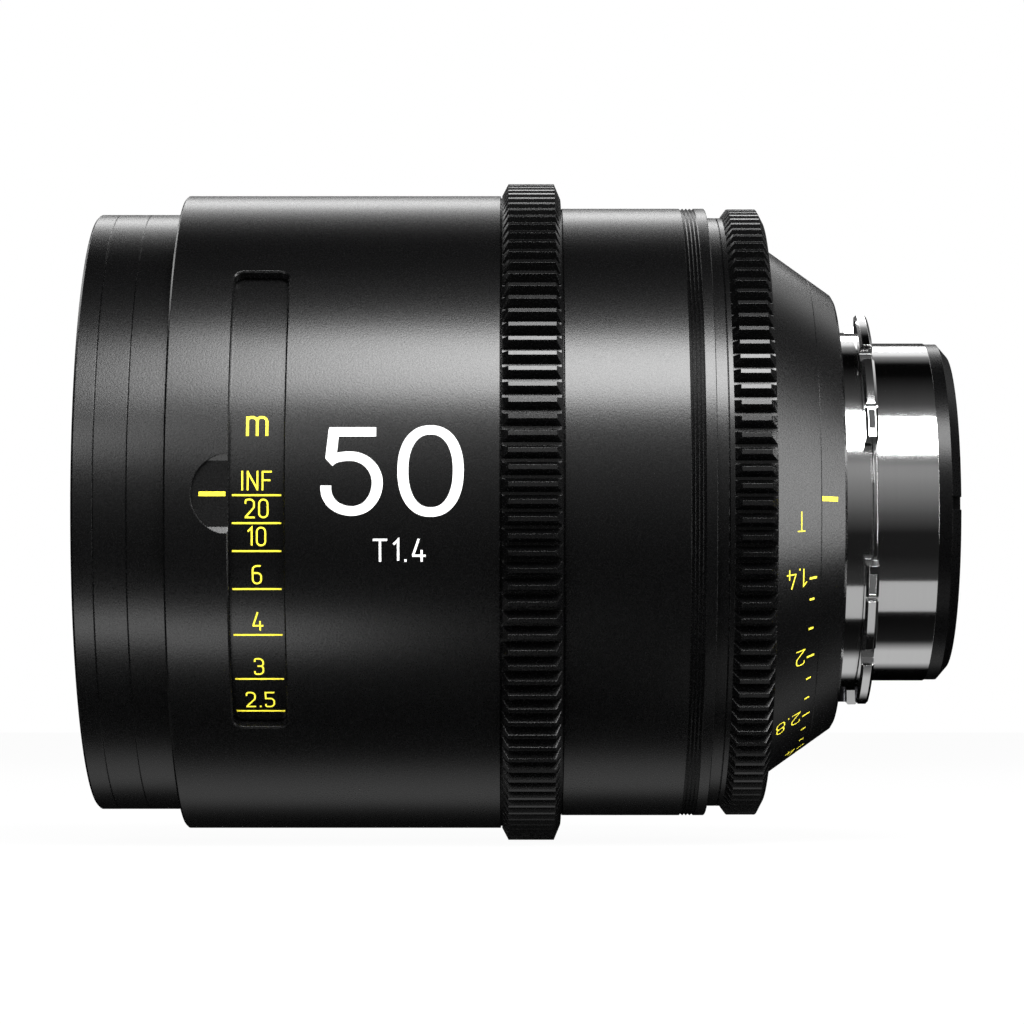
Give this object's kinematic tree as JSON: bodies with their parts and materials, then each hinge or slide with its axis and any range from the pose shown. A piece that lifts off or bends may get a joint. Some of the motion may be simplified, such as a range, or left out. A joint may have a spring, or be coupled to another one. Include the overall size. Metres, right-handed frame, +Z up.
{
  "type": "cinema prime lens",
  "caption": "Cinema prime lens with a toothed focus ring and iris ring, a focus scale window and a four-tab bayonet mount.",
  "frame": {"origin": "centre of the mount's flange face, on the optical axis", "axes": "+X along the optical axis towards the camera body, +Z up, index marks on the -Y side"},
  "size_m": [0.1347, 0.1048, 0.1048],
  "materials": {
    "black_anodised": "satin black anodised",
    "inner_black": "matt black anodised",
    "mount_steel": "bright turned steel",
    "coated_glass": "coated optical glass",
    "dark_screws": "blackened steel",
    "follower_brass": "turned brass",
    "blade_steel": "blackened spring steel"
  },
  "bodies": {
    "housing": {"filter_ring": "black_anodised", "front_bezel": "black_anodised", "front_barrel": "black_anodised", "front_screws": "dark_screws", "outer_sleeve": "black_anodised", "main_barrel": "inner_black", "front_cell": "inner_black", "front_element": "coated_glass", "second_element": "coated_glass", "front_spacer": "inner_black", "front_retainer": "inner_black", "mid_barrel": "black_anodised", "collar_ring": "black_anodised", "middle_cell": "inner_black", "middle_element": "coated_glass", "middle_retainer": "inner_black", "middle_cell_screws": "dark_screws", "iris_housing": "inner_black", "rear_cell": "inner_black", "rear_cell_screws": "dark_screws", "rear_doublet_front": "coated_glass", "rear_doublet_back": "coated_glass", "rear_element": "coated_glass", "last_element": "coated_glass", "rear_retainer": "inner_black", "rear_spacer": "inner_black", "last_spacer": "inner_black", "mount_neck": "mount_steel", "neck_screws": "dark_screws", "rear_cover": "black_anodised", "mount_shim": "mount_steel", "mount_flange": "mount_steel", "mount_lock_screw": "dark_screws", "rear_ring": "black_anodised"},
    "focus_ring": {"focus_scale_drum": "black_anodised", "focus_gear_ring": "black_anodised", "focus_ring_screws": "dark_screws"},
    "focus_group": {"focus_cell": "inner_black", "focus_element_front": "coated_glass", "focus_element_rear": "coated_glass", "focus_retainer": "inner_black", "focus_follower": "follower_brass"},
    "iris_ring": {"iris_drive_sleeve": "inner_black", "iris_gear_ring": "black_anodised", "iris_scale_ring": "black_anodised", "iris_ring_screws": "dark_screws"},
    "iris_key": {"iris_key": "follower_brass"},
    "iris_actuator": {"iris_actuator": "inner_black"},
    "iris_blade_01": {"iris_blade_01": "blade_steel"},
    "iris_blade_02": {"iris_blade_02": "blade_steel"},
    "iris_blade_03": {"iris_blade_03": "blade_steel"},
    "iris_blade_04": {"iris_blade_04": "blade_steel"},
    "iris_blade_05": {"iris_blade_05": "blade_steel"},
    "iris_blade_06": {"iris_blade_06": "blade_steel"},
    "iris_blade_07": {"iris_blade_07": "blade_steel"},
    "iris_blade_08": {"iris_blade_08": "blade_steel"},
    "iris_blade_09": {"iris_blade_09": "blade_steel"},
    "iris_blade_10": {"iris_blade_10": "blade_steel"},
    "iris_blade_11": {"iris_blade_11": "blade_steel"}
  },
  "joints": [
    {"name": "focus_ring_turn", "type": "hinge", "parent": "housing", "child": "focus_ring", "pos_m": [0, 0, 0], "axis": [-1, 0, 0], "range_deg": [0, 254]},
    {"name": "focus_group_slide", "type": "slide", "parent": "housing", "child": "focus_group", "axis": [-1, 0, 0], "range_m": [0, 0.0065]},
    {"name": "iris_ring_turn", "type": "hinge", "parent": "housing", "child": "iris_ring", "pos_m": [0, 0, 0], "axis": [-1, 0, 0], "range_deg": [0, 176.8]},
    {"name": "iris_key_slide", "type": "slide", "parent": "housing", "child": "iris_key", "axis": [1, 0, 0], "range_m": [0, 0.01]},
    {"name": "iris_actuator_turn", "type": "hinge", "parent": "housing", "child": "iris_actuator", "pos_m": [0, 0, 0], "axis": [-1, 0, 0], "range_deg": [0, 26]},
    {"name": "iris_blade_01_turn", "type": "hinge", "parent": "housing", "child": "iris_blade_01", "pos_m": [-0.045, 0.0266, 0], "axis": [1, 0, 0], "range_deg": [0, 34.8]},
    {"name": "iris_blade_02_turn", "type": "hinge", "parent": "housing", "child": "iris_blade_02", "pos_m": [-0.045, 0.02238, 0.01438], "axis": [1, 0, 0], "range_deg": [0, 34.8]},
    {"name": "iris_blade_03_turn", "type": "hinge", "parent": "housing", "child": "iris_blade_03", "pos_m": [-0.045, 0.01105, 0.0242], "axis": [1, 0, 0], "range_deg": [0, 34.8]},
    {"name": "iris_blade_04_turn", "type": "hinge", "parent": "housing", "child": "iris_blade_04", "pos_m": [-0.045, -0.00379, 0.02633], "axis": [1, 0, 0], "range_deg": [0, 34.8]},
    {"name": "iris_blade_05_turn", "type": "hinge", "parent": "housing", "child": "iris_blade_05", "pos_m": [-0.045, -0.01742, 0.0201], "axis": [1, 0, 0], "range_deg": [0, 34.8]},
    {"name": "iris_blade_06_turn", "type": "hinge", "parent": "housing", "child": "iris_blade_06", "pos_m": [-0.045, -0.02552, 0.00749], "axis": [1, 0, 0], "range_deg": [0, 34.8]},
    {"name": "iris_blade_07_turn", "type": "hinge", "parent": "housing", "child": "iris_blade_07", "pos_m": [-0.045, -0.02552, -0.00749], "axis": [1, 0, 0], "range_deg": [0, 34.8]},
    {"name": "iris_blade_08_turn", "type": "hinge", "parent": "housing", "child": "iris_blade_08", "pos_m": [-0.045, -0.01742, -0.0201], "axis": [1, 0, 0], "range_deg": [0, 34.8]},
    {"name": "iris_blade_09_turn", "type": "hinge", "parent": "housing", "child": "iris_blade_09", "pos_m": [-0.045, -0.00379, -0.02633], "axis": [1, 0, 0], "range_deg": [0, 34.8]},
    {"name": "iris_blade_10_turn", "type": "hinge", "parent": "housing", "child": "iris_blade_10", "pos_m": [-0.045, 0.01105, -0.0242], "axis": [1, 0, 0], "range_deg": [0, 34.8]},
    {"name": "iris_blade_11_turn", "type": "hinge", "parent": "housing", "child": "iris_blade_11", "pos_m": [-0.045, 0.02238, -0.01438], "axis": [1, 0, 0], "range_deg": [0, 34.8]}
  ],
  "couplings": [
    {"joint": "focus_group_slide", "follows": "focus_ring_turn", "m_per_rad": 0.0014662},
    {"joint": "iris_key_slide", "follows": "iris_ring_turn", "m_per_rad": 0.0032407},
    {"joint": "iris_actuator_turn", "follows": "iris_ring_turn", "ratio": 0.14706},
    {"joint": "iris_blade_01_turn", "follows": "iris_ring_turn", "ratio": 0.19683},
    {"joint": "iris_blade_02_turn", "follows": "iris_ring_turn", "ratio": 0.19683},
    {"joint": "iris_blade_03_turn", "follows": "iris_ring_turn", "ratio": 0.19683},
    {"joint": "iris_blade_04_turn", "follows": "iris_ring_turn", "ratio": 0.19683},
    {"joint": "iris_blade_05_turn", "follows": "iris_ring_turn", "ratio": 0.19683},
    {"joint": "iris_blade_06_turn", "follows": "iris_ring_turn", "ratio": 0.19683},
    {"joint": "iris_blade_07_turn", "follows": "iris_ring_turn", "ratio": 0.19683},
    {"joint": "iris_blade_08_turn", "follows": "iris_ring_turn", "ratio": 0.19683},
    {"joint": "iris_blade_09_turn", "follows": "iris_ring_turn", "ratio": 0.19683},
    {"joint": "iris_blade_10_turn", "follows": "iris_ring_turn", "ratio": 0.19683},
    {"joint": "iris_blade_11_turn", "follows": "iris_ring_turn", "ratio": 0.19683}
  ]
}
